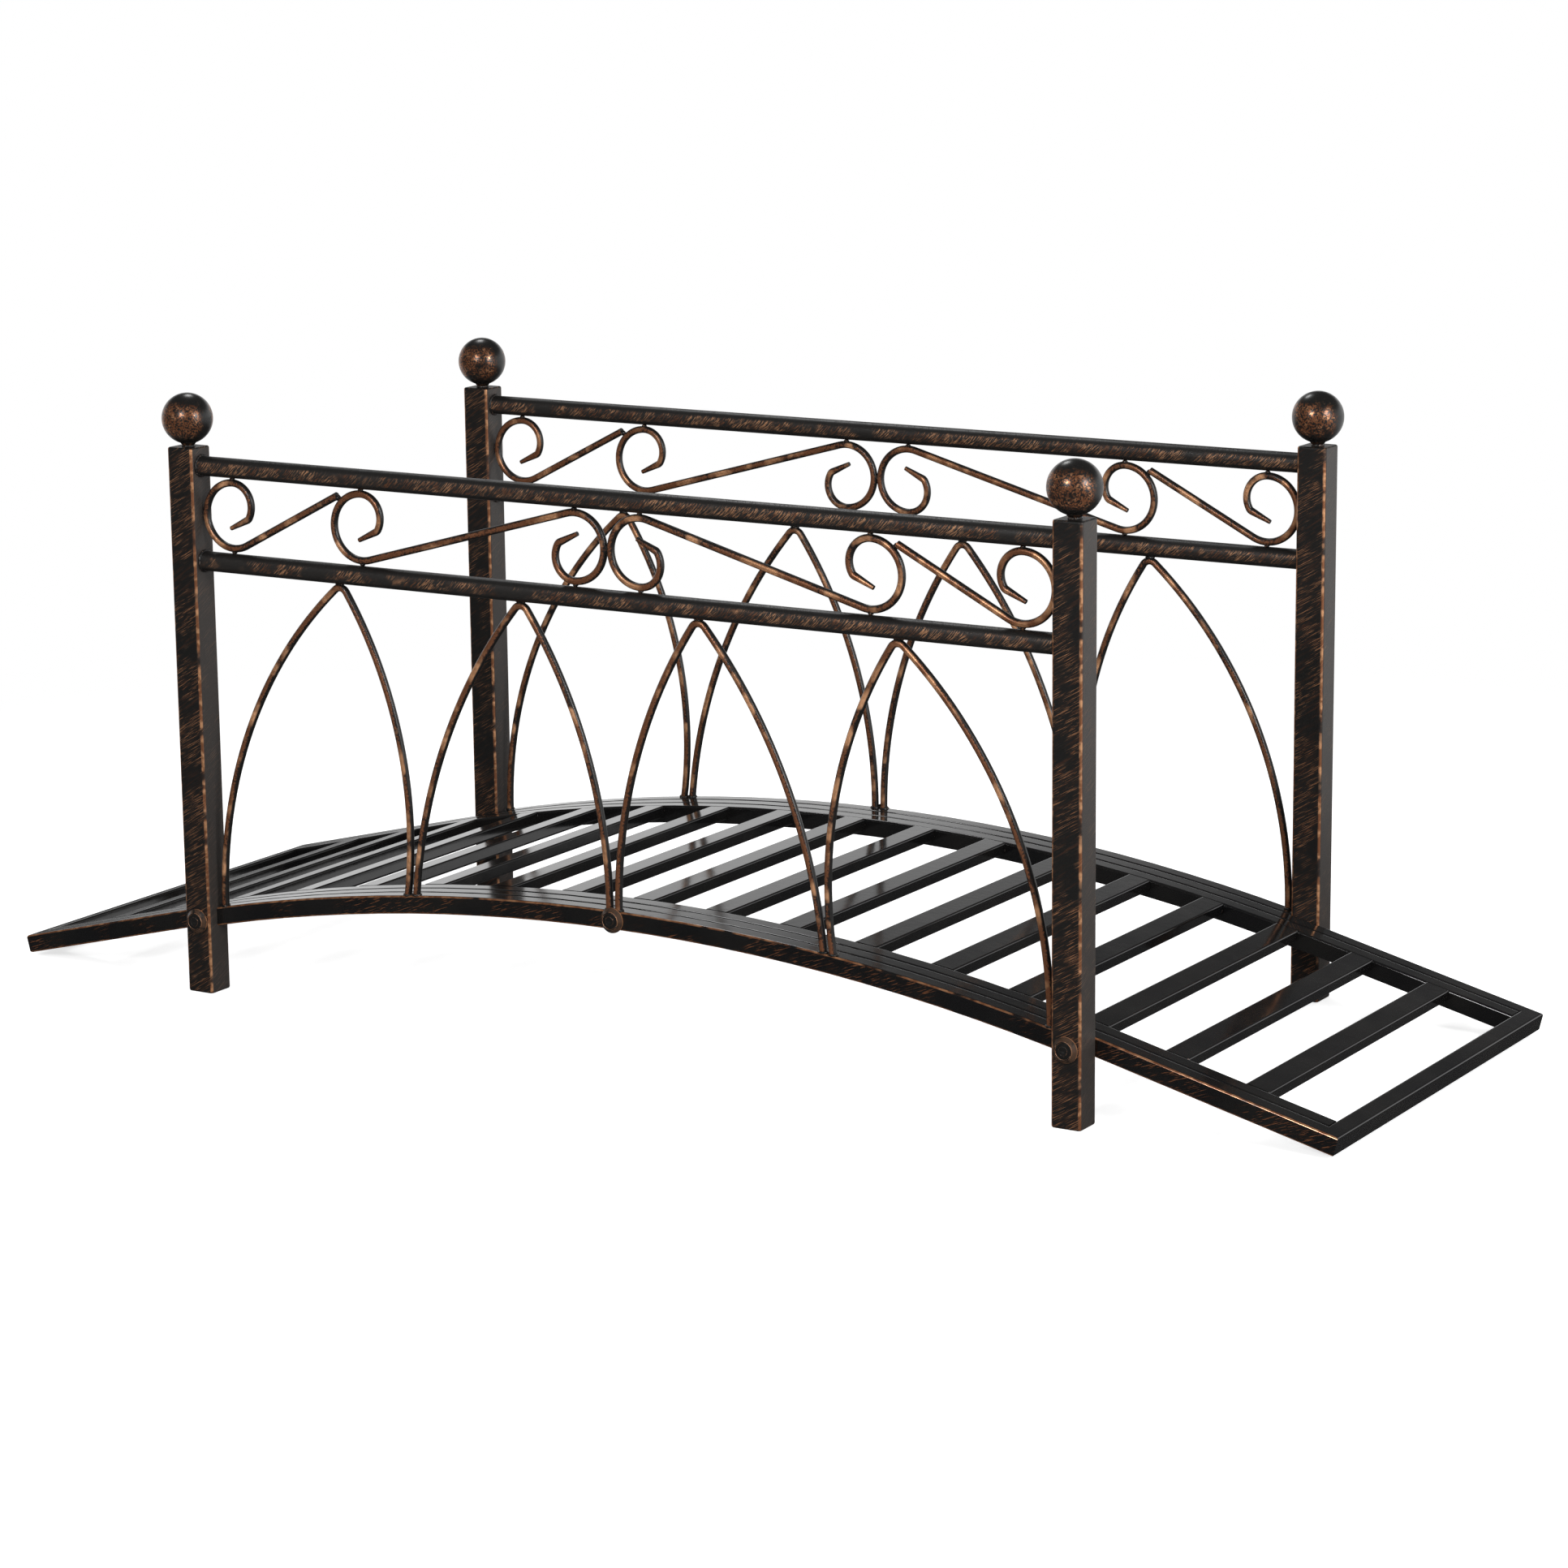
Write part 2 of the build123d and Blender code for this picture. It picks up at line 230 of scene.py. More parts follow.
# Powder-coated steel tube with copper brushed on by hand in short slanted strokes: a satin
# black that shows hair-thin copper lines on its broad faces and thick copper on its corners.
def brushed_post_steel(colours):
    surface = Surface("powder_coated_steel_copper_brushed_post")
    add, place, facing, at = surface.add, surface.place, surface.facing, surface.at

    # Strokes on the broad faces, thinned out in clusters, over a faint haze of copper.
    broad_face = add("MapRange", (facing["Y"], 0.80, 0.98), **SMOOTH)[0]
    hairs = surface.strokes(angle=30, length=20, width=0.5)
    hairs = add("MapRange", (hairs, 0.57, 0.66), **SMOOTH)[0]
    coarse = surface.strokes(angle=38, length=13, width=1.0, offset=3.0)
    coarse = add("MapRange", (coarse, 0.63, 0.72), **SMOOTH)[0]
    clusters = add("TexNoise", {"Vector": place, "Scale": per_mm(26)})[0]
    clusters = add("MapRange", (clusters, 0.38, 0.56), **SMOOTH)[0]
    haze = surface.strokes(angle=34, length=26, width=2.2, offset=9.0)
    haze = add("MapRange", (haze, 0.4, 0.75), **SMOOTH)[0]
    haze = add("Math", (haze, 0.26), **TIMES)[0]
    stroke = add("Math", (hairs, add("Math", (coarse, 0.8), **TIMES)[0]), **HIGHER)[0]
    on_face = add("Math", (stroke, clusters), **TIMES)[0]
    on_face = add("Math", (on_face, haze), **HIGHER)[0]
    on_face = add("Math", (on_face, broad_face), **TIMES)[0]

    # Fainter strokes on every face, and a worn line of copper down each corner.
    on_side = surface.strokes(angle=35, length=14, width=1.0, offset=7.0)
    on_side = add("MapRange", (on_side, 0.58, 0.72), **SMOOTH)[0]
    on_side = add("Math", (on_side, 0.22), **TIMES)[0]
    corner = add("Math", (facing["X"], facing["Y"]), **LOWER)[0]
    corner = add("MapRange", (corner, 0.20, 0.55), **SMOOTH)[0]
    up_the_post = add("CombineXYZ", {"X": at["X"], "Z": at["Z"]})[0]
    worn = add("TexNoise", {"Vector": up_the_post, "Scale": per_mm(24)})[0]
    worn = add("MapRange", (worn, 0.36, 0.52), **SMOOTH)[0]
    worn = add("Math", (worn, 0.85), **TIMES)[0]
    line = add("Math", (corner, add("Math", (worn, 0.15), **PLUS)[0]), **TIMES)[0]
    amount = add("Math", (on_face, on_side), **HIGHER)[0]
    amount = add("Math", (amount, line), **HIGHER)[0]

    # The copper is thickest in short runs of the corner line and in the hairs.
    runs = add("TexNoise", {"Vector": up_the_post, "Scale": per_mm(6)})[0]
    runs = add("MapRange", (runs, 0.46, 0.66), **SMOOTH)[0]
    bright = add("Math", (line, runs), **TIMES)[0]
    bright_hairs = add("Math", (hairs, clusters), **TIMES)[0]
    bright_hairs = add("Math", (bright_hairs, 0.5), **TIMES)[0]
    bright = add("Math", (bright, bright_hairs), **HIGHER)[0]

    # Painted sheen: the faces along the bridge are made greyer, standing in for the light that
    # falls on them.
    painted_sheen = add("MapRange", (facing["X"], 0.8, 0.98), **SMOOTH)[0]
    painted_sheen = add("Math", (painted_sheen, 0.75), **TIMES)[0]
    coated = rubbed(surface, colours, amount, bright)
    shown = {SHARE: painted_sheen, UNDER: coated, OVER: solid(colours.painted_sheen_grey)}
    orange_peel = add("TexNoise", {"Vector": place, "Scale": per_mm(1.2)})[0]
    orange_peel = add("Math", (orange_peel, 0.12), **TIMES)[0]
    grit = add("TexNoise", {"Vector": place, "Scale": per_mm(0.7)})[0]
    relief = {"Height": add("Math", (grit, stroke), **PLUS)[0], "Distance": 0.05 * MM}
    surface.finish({
        "Base Color": add("Mix", shown, **COLOURS)[BLEND],
        "Metallic": add("Math", (amount, 0.7), **TIMES)[0],
        "Roughness": add("Math", (0.36, orange_peel), **PLUS)[0],
        "Specular IOR Level": 0.4,
        "Normal": add("Bump", relief)[0],
    })
    return surface.material


# Round rails with the same coat: strokes lie in a band along the middle of each side.
def brushed_rail_steel(colours):
    surface = Surface("powder_coated_steel_copper_brushed_rail")
    add, place, facing = surface.add, surface.place, surface.facing
    broad_face = add("MapRange", (facing["Y"], 0.80, 0.97), **SMOOTH)[0]
    fine = surface.strokes(angle=46, length=10, width=0.7)
    fine = add("MapRange", (fine, 0.52, 0.62), **SMOOTH)[0]
    long = surface.strokes(angle=36, length=12, width=1.4, offset=5.0)
    long = add("MapRange", (long, 0.56, 0.68), **SMOOTH)[0]
    clusters = add("TexNoise", {"Vector": place, "Scale": per_mm(32)})[0]
    clusters = add("MapRange", (clusters, 0.32, 0.52), **SMOOTH)[0]
    stroke = add("Math", (fine, add("Math", (long, 0.85), **TIMES)[0]), **HIGHER)[0]
    amount = add("Math", (stroke, clusters), **TIMES)[0]
    amount = add("Math", (amount, broad_face), **TIMES)[0]
    runs = add("TexNoise", {"Vector": place, "Scale": per_mm(11)})[0]
    runs = add("MapRange", (runs, 0.42, 0.60), **SMOOTH)[0]
    bright = add("Math", (amount, runs), **TIMES)[0]
    coated = rubbed(surface, colours, amount, bright)
    # Painted sheen: the sides of the rail are made greyer than its top and bottom, standing in
    # for the shading of the round tube.
    level = add("MapRange", (facing["Z"], 0.35, 0.9), **SMOOTH)[0]
    painted_sheen = add("Math", (1.0, level), **LESS)[0]
    painted_sheen = add("Math", (painted_sheen, 0.22), **TIMES)[0]
    shown = {SHARE: painted_sheen, UNDER: coated, OVER: solid(colours.painted_sheen_grey)}
    orange_peel = add("TexNoise", {"Vector": place, "Scale": per_mm(1.2)})[0]
    orange_peel = add("Math", (orange_peel, 0.12), **TIMES)[0]
    grit = add("TexNoise", {"Vector": place, "Scale": per_mm(0.7)})[0]
    relief = {"Height": add("Math", (grit, stroke), **PLUS)[0], "Distance": 0.05 * MM}
    surface.finish({
        "Base Color": add("Mix", shown, **COLOURS)[BLEND],
        "Metallic": add("Math", (amount, 0.7), **TIMES)[0],
        "Roughness": add("Math", (0.34, orange_peel), **PLUS)[0],
        "Normal": add("Bump", relief)[0],
    })
    return surface.material


# Bent steel rod with copper rubbed along its two flat sides of the panel: the copper is
# nearly whole there and breaks into the black coat towards the rod's edges. That black at
# the edges is partly painted shade, standing in for the rod's darker edges.
def brushed_rod_steel(colours):
    surface = Surface(ROD_FINISH)
    add, place, facing = surface.add, surface.place, surface.facing
    patches = add("TexNoise", {"Vector": place, "Scale": per_mm(38), })[0]
    patches = add("Math", (patches, 0.5), **LESS)[0]
    fine = add("TexNoise", {"Vector": place, "Scale": per_mm(1.6), "Detail": 3})[0]
    fine = add("Math", (fine, 0.5), **LESS)[0]
    # Painted shade, in part: copper follows how far a face turns to the flat sides, so the rod's
    # edges stay black in place of their shading.
    reach = add("Math", (facing["Y"], add("Math", (patches, 0.8), **TIMES)[0]), **PLUS)[0]
    reach = add("Math", (reach, add("Math", (fine, 0.9), **TIMES)[0]), **PLUS)[0]
    amount = add("MapRange", (reach, 0.62, 1.16), **SMOOTH)[0]
    runs = add("TexNoise", {"Vector": place, "Scale": per_mm(20), "Detail": 3})[0]
    runs = add("MapRange", (runs, 0.50, 0.66), **SMOOTH)[0]
    flat_side = add("MapRange", (facing["Y"], 0.6, 0.95), **SMOOTH)[0]
    bright = add("Math", (runs, flat_side), **TIMES)[0]
    bright = add("Math", (bright, 0.75), **TIMES)[0]
    uneven = add("Math", (fine, 0.2), **TIMES)[0]
    grit = add("TexNoise", {"Vector": place, "Scale": per_mm(1.1), "Detail": 3})[0]
    surface.finish({
        "Base Color": rubbed(surface, colours, amount, bright),
        "Metallic": add("Math", (amount, 0.7), **TIMES)[0],
        "Roughness": add("Math", (0.34, uneven), **PLUS)[0],
        "Normal": add("Bump", {"Height": grit, "Distance": 0.08 * MM})[0],
    })
    return surface.material


# Hollow steel balls under the same coat, with copper dabbed on in specks: a dark bronze
# on their sides that goes back to black at the top and at the neck.
def dabbed_ball_steel(colours):
    surface = Surface("powder_coated_ball_copper_dabbed")
    add, place, facing = surface.add, surface.place, surface.facing
    level = add("MapRange", (facing["Z"], 0.35, 0.85), **SMOOTH)[0]
    upright = add("Math", (1.0, level), **LESS)[0]
    dabs = add("TexNoise", {"Vector": place, "Scale": per_mm(1.4), "Detail": 4})[0]
    dabs = add("MapRange", (dabs, 0.40, 0.60), **SMOOTH)[0]
    broad = add("TexNoise", {"Vector": place, "Scale": per_mm(17), })[0]
    broad = add("MapRange", (broad, 0.26, 0.50), **SMOOTH)[0]
    sides = add("MapRange", (facing["Y"], 0.10, 0.60), **SMOOTH)[0]
    broad = add("Math", (broad, sides), **TIMES)[0]
    amount = add("Math", (dabs, broad), **TIMES)[0]
    amount = add("Math", (amount, upright), **TIMES)[0]
    specks = add("TexNoise", {"Vector": place, "Scale": per_mm(4)})[0]
    specks = add("MapRange", (specks, 0.52, 0.7), **SMOOTH)[0]
    bright = add("Math", (amount, specks), **TIMES)[0]
    bright = add("Math", (bright, 0.6), **TIMES)[0]
    orange_peel = add("TexNoise", {"Vector": place, "Scale": per_mm(2.2), "Detail": 3})[0]
    orange_peel = add("Math", (orange_peel, 0.10), **TIMES)[0]
    grit = add("TexNoise", {"Vector": place, "Scale": per_mm(1.6), "Detail": 3})[0]
    surface.finish({
        "Base Color": rubbed(surface, colours, amount, bright),
        "Metallic": add("Math", (amount, 0.75), **TIMES)[0],
        "Roughness": add("Math", (0.24, orange_peel), **PLUS)[0],
        "Normal": add("Bump", {"Height": grit, "Distance": 0.02 * MM})[0],
    })
    return surface.material


# Semi-gloss powder coat of the deck: smooth enough to mirror the pale room at a low angle,
# with copper caught only along the edges of the outer tubes.
def gloss_deck_steel(colours, name, copper_from=None):
    """Deck coat; copper lies on the outward edges beyond a distance from mid length, in mm."""
    surface = Surface(name)
    add, place, facing, at = surface.add, surface.place, surface.facing, surface.at
    clouds = add("TexNoise", {"Vector": place, "Scale": per_mm(60)})[0]
    clouds = add("MapRange", (clouds, 0.3, 0.7), **SMOOTH)[0]
    coat = {SHARE: clouds, UNDER: solid(colours.deck_coat), OVER: solid(colours.coat)}
    coat = add("Mix", coat, **COLOURS)[BLEND]
    if copper_from is not None:
        # Only outward faces, from the given distance on.
        outward = add("Math", (surface.normal["Y"], at["Y"]), **TIMES)[0]
        outward = add("MapRange", (outward, 0.0, 0.02), **SMOOTH)[0]
        from_middle = add("Math", (at["X"],), operation="ABSOLUTE")[0]
        fade_in = (from_middle, (copper_from - COPPER_FADE) * MM, copper_from * MM)
        shown = add("Math", (outward, add("MapRange", fade_in, **SMOOTH)[0]), **TIMES)[0]

        # A worn line along each edge, and dusty strokes on the side.
        edge = add("Math", (facing["Z"], facing["Y"]), **LOWER)[0]
        edge = add("MapRange", (edge, 0.22, 0.5), **SMOOTH)[0]
        along_tube = add("CombineXYZ", {"X": at["X"], "Y": at["Y"]})[0]
        worn = add("TexNoise", {"Vector": along_tube, "Scale": per_mm(22)})[0]
        worn = add("MapRange", (worn, 0.25, 0.5), **SMOOTH)[0]
        line = add("Math", (edge, worn), **TIMES)[0]
        side = add("MapRange", (facing["Y"], 0.85, 0.98), **SMOOTH)[0]
        rubs = surface.strokes(angle=20, length=13, width=1.0)
        rubs = add("MapRange", (rubs, 0.50, 0.66), **SMOOTH)[0]
        patches = add("TexNoise", {"Vector": place, "Scale": per_mm(46)})[0]
        patches = add("MapRange", (patches, 0.38, 0.60), **SMOOTH)[0]
        dust = add("Math", (rubs, patches), **TIMES)[0]
        dust = add("Math", (dust, 0.8), **TIMES)[0]
        dust = add("Math", (dust, side), **TIMES)[0]
        amount = add("Math", (line, dust), **HIGHER)[0]
        amount = add("Math", (amount, shown), **TIMES)[0]
        runs = add("TexNoise", {"Vector": along_tube, "Scale": per_mm(9)})[0]
        runs = add("MapRange", (runs, 0.42, 0.62), **SMOOTH)[0]
        bright = add("Math", (line, runs), **TIMES)[0]
        bright = add("Math", (bright, 0.6), **TIMES)[0]
        edged = {SHARE: amount, UNDER: coat, OVER: rubbed(surface, colours, amount, bright)}
        coat = add("Mix", edged, **COLOURS)[BLEND]
        surface.finish({"Metallic": add("Math", (amount, 0.6), **TIMES)[0]})
    flow = add("TexNoise", {"Vector": place, "Scale": per_mm(30)})[0]
    flow = add("Math", (flow, 0.08), **TIMES)[0]
    waves = add("TexNoise", {"Vector": place, "Scale": per_mm(6), "Detail": 1})[0]
    surface.finish({
        "Base Color": coat,
        "IOR": 1.6,
        "Roughness": add("Math", (0.07, flow), **PLUS)[0],
        "Normal": add("Bump", {"Height": waves, "Distance": 0.02 * MM})[0],
    })
    return surface.material


# Arc weld left rough and sprayed over: lumpy, nearly black, bare where the lumps are highest.
def sprayed_weld(colours):
    surface = Surface(WELD_FINISH)
    add, place = surface.add, surface.place
    peaks = add("TexNoise", {"Vector": place, "Scale": per_mm(1.4), "Detail": 3})[0]
    peaks = add("MapRange", (peaks, 0.56, 0.72), **SMOOTH)[0]
    patches = add("TexNoise", {"Vector": place, "Scale": per_mm(5)})[0]
    bare = {SHARE: patches, UNDER: solid(colours.copper), OVER: solid(colours.steel_glint)}
    bare = add("Mix", bare, **COLOURS)[BLEND]
    shown = {SHARE: peaks, UNDER: solid(colours.coat), OVER: bare}
    spatter = add("TexNoise", {"Vector": place, "Scale": per_mm(1.0), "Detail": 3})[0]
    surface.finish({
        "Base Color": add("Mix", shown, **COLOURS)[BLEND],
        "Metallic": add("Math", (peaks, 0.6), **TIMES)[0],
        "Roughness": 0.34,
        "Normal": add("Bump", {"Height": spatter, "Distance": 0.12 * MM})[0],
    })
    return surface.material


# Steel bolt caps under the same coat: satin black, with copper caught on the sloping rim.
def capped_bolt(colours):
    surface = Surface("powder_coated_bolt_cap")
    add, place, facing = surface.add, surface.place, surface.facing
    face = add("MapRange", (facing["Y"], 0.35, 0.85), **SMOOTH)[0]
    slope = add("Math", (1.0, face), **LESS)[0]
    patches = add("TexNoise", {"Vector": place, "Scale": per_mm(5)})[0]
    patches = add("MapRange", (patches, 0.30, 0.5), **SMOOTH)[0]
    caught = add("Math", (slope, patches), **TIMES)[0]
    bright = add("Math", (caught, 0.5), **TIMES)[0]
    grit = add("TexNoise", {"Vector": place, "Scale": per_mm(1.5), })[0]
    surface.finish({
        "Base Color": rubbed(surface, colours, caught, bright),
        "Metallic": add("Math", (caught, 0.5), **TIMES)[0],
        "Roughness": 0.30,
        "Normal": add("Bump", {"Height": grit, "Distance": 0.04 * MM})[0],
    })
    return surface.material


# Mesh tools

def new_piece(name, mesh_maker, material):
    """A named object that rides on the bridge, from a function that fills a bmesh."""
    shape = bmesh.new()
    mesh_maker(shape)
    bmesh.ops.recalc_face_normals(shape, faces=shape.faces)
    mesh = bpy.data.meshes.new(name)
    shape.to_mesh(mesh)
    shape.free()
    mesh.shade_smooth()
    mesh.materials.append(material)
    piece = bpy.data.objects.new(name, mesh)
    bpy.context.scene.collection.objects.link(piece)
    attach(piece, "root")
    return piece


def finish_of(name, maker, colours):
    """A finish that several pieces share, made by the first that needs it."""
    return bpy.data.materials.get(name) or maker(colours)


def add_bead(shape, points, radius, rng, closed=True, sides=10):
    """A weld bead along points: a lumpy tube whose ripples follow its length."""
    wave, unevenness, out_of_round = 0.16, 0.10, 0.06
    points_a_ripple = 3.0
    end_size, end_roundness = 0.35, 0.4
    nearly_upright = 0.9
    count = len(points)
    rings = []
    phase = rng.uniform(0, math.tau)
    for i, point in enumerate(points):
        before = points[i - 1] if closed or i else points[i]
        after = points[(i + 1) % count] if closed or i < count - 1 else points[i]
        along = (after - before).normalized()
        across = UPWARD if abs(along.z) < nearly_upright else ALONG_BRIDGE
        side = along.cross(across).normalized()
        up = side.cross(along)
        ripple = 1 + wave * math.sin(phase + i * math.tau / points_a_ripple)
        ripple += rng.uniform(-unevenness, unevenness)
        rounded = math.sin(math.pi * (i + 0.5) / count) ** end_roundness
        taper = 1.0 if closed else max(end_size, rounded)
        ring = []
        for j in range(sides):
            turn = math.tau * j / sides
            lump = ripple * taper * radius * (1 + out_of_round * math.sin(2 * turn + i))
            outward = side * math.cos(turn) + up * math.sin(turn)
            ring.append(shape.verts.new(point + outward * lump))
        rings.append(ring)
    for i in range(count if closed else count - 1):
        here, there = rings[i], rings[(i + 1) % count]
        for j in range(sides):
            k = (j + 1) % sides
            shape.faces.new((here[j], here[k], there[k], there[j]))
    if not closed:
        shape.faces.new(rings[0])
        shape.faces.new(reversed(rings[-1]))


def add_ring_bead(shape, centre, axis, ring_radius, bead_radius, rng):
    """A bead round a rod or rail where it meets what carries it."""
    turned = axis.to_track_quat("Z", "Y").to_matrix()
    fewest, spacing = 18, 0.75 * MM
    steps = max(fewest, int(math.tau * ring_radius / spacing))
    points = []
    for i in range(steps):
        angle = math.tau * i / steps
        outward = turned @ Vector((math.cos(angle), math.sin(angle), 0))
        points.append(centre + outward * ring_radius)
    add_bead(shape, points, bead_radius, rng)


def add_blob(shape, centre, radii, rng):
    """A small lump of weld, uneven all round."""
    dents, dent_scale = 0.22, 1.7
    grain, grain_scale = 0.08, 5
    farthest = 50
    made = bmesh.ops.create_icosphere(shape, subdivisions=3, radius=1.0)
    shift = Vector([rng.uniform(0, farthest) for _ in range(3)])
    for vert in made["verts"]:
        push = 1 + dents * noise.noise(vert.co * dent_scale + shift)
        push += grain * noise.noise(vert.co * grain_scale + shift)
        vert.co = Vector(vert.co[i] * radii[i] * push + centre[i] for i in range(3))


def points_of(node):
    """Corners of a frame piece's mesh."""
    return [v.co.copy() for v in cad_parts[node].data.vertices]


def centre_of(points):
    return sum(points, Vector()) / len(points)


def groups_along(points, gap):
    """Points gathered into groups along X, parted where nothing lies for a gap."""
    ordered = sorted(points, key=lambda p: p.x)
    groups = [[ordered[0]]]
    for point in ordered[1:]:
        if point.x - groups[-1][-1].x > gap:
            groups.append([])
        groups[-1].append(point)
    return groups


def finish_nodes(endings, material):
    """Give every frame piece whose name has one of the endings a material."""
    for name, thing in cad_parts.items():
        if name.endswith(endings):
            thing.data.materials.clear()
            thing.data.materials.append(material)


def colours_and_welds(context):
    return context.scene.bridge_finish, context.scene.bridge_welds


# Pieces of the bridge

class BRIDGE_OT_posts(bpy.types.Operator):
    """Finish the posts and balls, and weld the balls' necks"""

    bl_idname = "bridge.posts"
    bl_label = "Posts and Balls"

    def execute(self, context):
        colours, welds = colours_and_welds(context)
        finish_nodes(("_post",), brushed_post_steel(colours))
        finish_nodes(("_ball",), dabbed_ball_steel(colours))
        weld = finish_of(WELD_FINISH, sprayed_weld, colours)
        rng = random.Random(welds.seed)
        foot_depth, seat_rise = 0.2 * MM, 0.3 * MM

        def necks(shape):
            for side in SIDES:
                for end in ENDS:
                    ball = f"{side}_{end}_ball"
                    low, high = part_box(ball)
                    middle = (low + high) / 2
                    foot = [p for p in points_of(ball) if p.z < low.z + foot_depth]
                    radius = max((p - centre_of(foot)).length for p in foot)
                    seat = Vector((middle.x, middle.y, low.z + seat_rise))
                    add_ring_bead(shape, seat, UPWARD, radius, welds.neck_bead * MM, rng)

        new_piece("ball_neck_welds", necks, weld)
        return {"FINISHED"}


class BRIDGE_OT_rails(bpy.types.Operator):
    """Finish the round rails and weld their ends to the posts"""

    bl_idname = "bridge.rails"
    bl_label = "Rails"

    def execute(self, context):
        colours, welds = colours_and_welds(context)
        finish_nodes(("_top_rail", "_middle_rail"), brushed_rail_steel(colours))
        weld = finish_of(WELD_FINISH, sprayed_weld, colours)
        rng = random.Random(welds.seed + 1)
        seat_depth, clearance = 0.5 * MM, 0.2 * MM

        def ends(shape):
            for side in SIDES:
                for rail in ("top_rail", "middle_rail"):
                    low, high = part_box(f"{side}_{rail}")
                    middle = (low + high) / 2
                    for x in (low.x, high.x):
                        inward = seat_depth * (1 if x < 0 else -1)
                        seat = Vector((x + inward, middle.y, middle.z))
                        radius = (high.z - low.z) / 2 + clearance
                        bead = welds.rail_bead * MM
                        add_ring_bead(shape, seat, ALONG_BRIDGE, radius, bead, rng)

        new_piece("rail_end_welds", ends, weld)
        return {"FINISHED"}


class BRIDGE_OT_arches(bpy.types.Operator):
    """Finish the pointed arches and weld their feet and tops"""

    bl_idname = "bridge.arches"
    bl_label = "Arches"

    def execute(self, context):
        colours, welds = colours_and_welds(context)
        finish_nodes(("_arch",), finish_of(ROD_FINISH, brushed_rod_steel, colours))
        weld = finish_of(WELD_FINISH, sprayed_weld, colours)
        rng = random.Random(welds.seed + 2)
        foot_height, foot_rise, foot_ring = 3 * MM, 0.9 * MM, 3.1 * MM
        top_height, top_drop = 0.5 * MM, 0.2 * MM
        top_weld = (4.2 * MM, 1.9 * MM, 1.3 * MM)

        def feet_and_tops(shape):
            for name in sorted(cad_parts):
                if not name.endswith("_arch"):
                    continue
                low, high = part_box(name)
                middle = (low.x + high.x) / 2
                points = points_of(name)
                left_leg = [p for p in points if p.x < middle]
                right_leg = [p for p in points if p.x > middle]
                for leg in (left_leg, right_leg):
                    bottom = min(p.z for p in leg)
                    foot = centre_of([p for p in leg if p.z < bottom + foot_height])
                    seat = Vector((foot.x, (low.y + high.y) / 2, bottom + foot_rise))
                    add_ring_bead(shape, seat, UPWARD, foot_ring, welds.foot_bead * MM, rng)
                top = centre_of([p for p in points if p.z > high.z - top_height])
                top.z = high.z - top_drop
                add_blob(shape, top, top_weld, rng)

        new_piece("arch_welds", feet_and_tops, weld)
        return {"FINISHED"}


class BRIDGE_OT_scrolls(bpy.types.Operator):
    """Finish the scrolls and weld them to the rails, to the posts and to each other"""

    bl_idname = "bridge.scrolls"
    bl_label = "Scrolls"

    def execute(self, context):
        colours, welds = colours_and_welds(context)
        finish_nodes(("_scroll",), finish_of(ROD_FINISH, brushed_rod_steel, colours))
        weld = finish_of(WELD_FINISH, sprayed_weld, colours)
        rng = random.Random(welds.seed + 3)
        size = welds.blob * MM
        touching, turns_apart, sink = 0.2 * MM, 10 * MM, 0.8 * MM
        tail_length = 1.5 * MM
        rail_weld = (size, size * 0.85, 1.5 * MM)
        post_weld = (0.8 * MM, 1.8 * MM, 3.4 * MM)
        tail_weld = (2.4 * MM, 2.6 * MM, 2.4 * MM)
        middle_weld = (1.2 * MM, 2.2 * MM, 4 * MM)

        def joints(shape):
            for name in sorted(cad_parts):
                if not name.endswith("_scroll"):
                    continue
                low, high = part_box(name)
                points = points_of(name)
                for level, way in ((high.z, -1), (low.z, 1)):
                    on_rail = [p for p in points if abs(p.z - level) < touching]
                    for group in groups_along(on_rail, turns_apart):
                        seat = centre_of(group)
                        seat.z = level + way * sink
                        add_blob(shape, seat, rail_weld, rng)
                middle = (low + high) / 2
                if "end_scroll" in name:
                    outward = low.x if middle.x < 0 else high.x
                    inward = high.x if middle.x < 0 else low.x
                    add_blob(shape, Vector((outward, middle.y, middle.z)), post_weld, rng)
                    tail = centre_of([p for p in points if abs(p.x - inward) < tail_length])
                    add_blob(shape, tail, tail_weld, rng)
            for side in SIDES:
                low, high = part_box(f"{side}_left_long_scroll")
                seat = Vector((0, (low.y + high.y) / 2, (low.z + high.z) / 2))
                add_blob(shape, seat, middle_weld, rng)

        new_piece("scroll_welds", joints, weld)
        return {"FINISHED"}


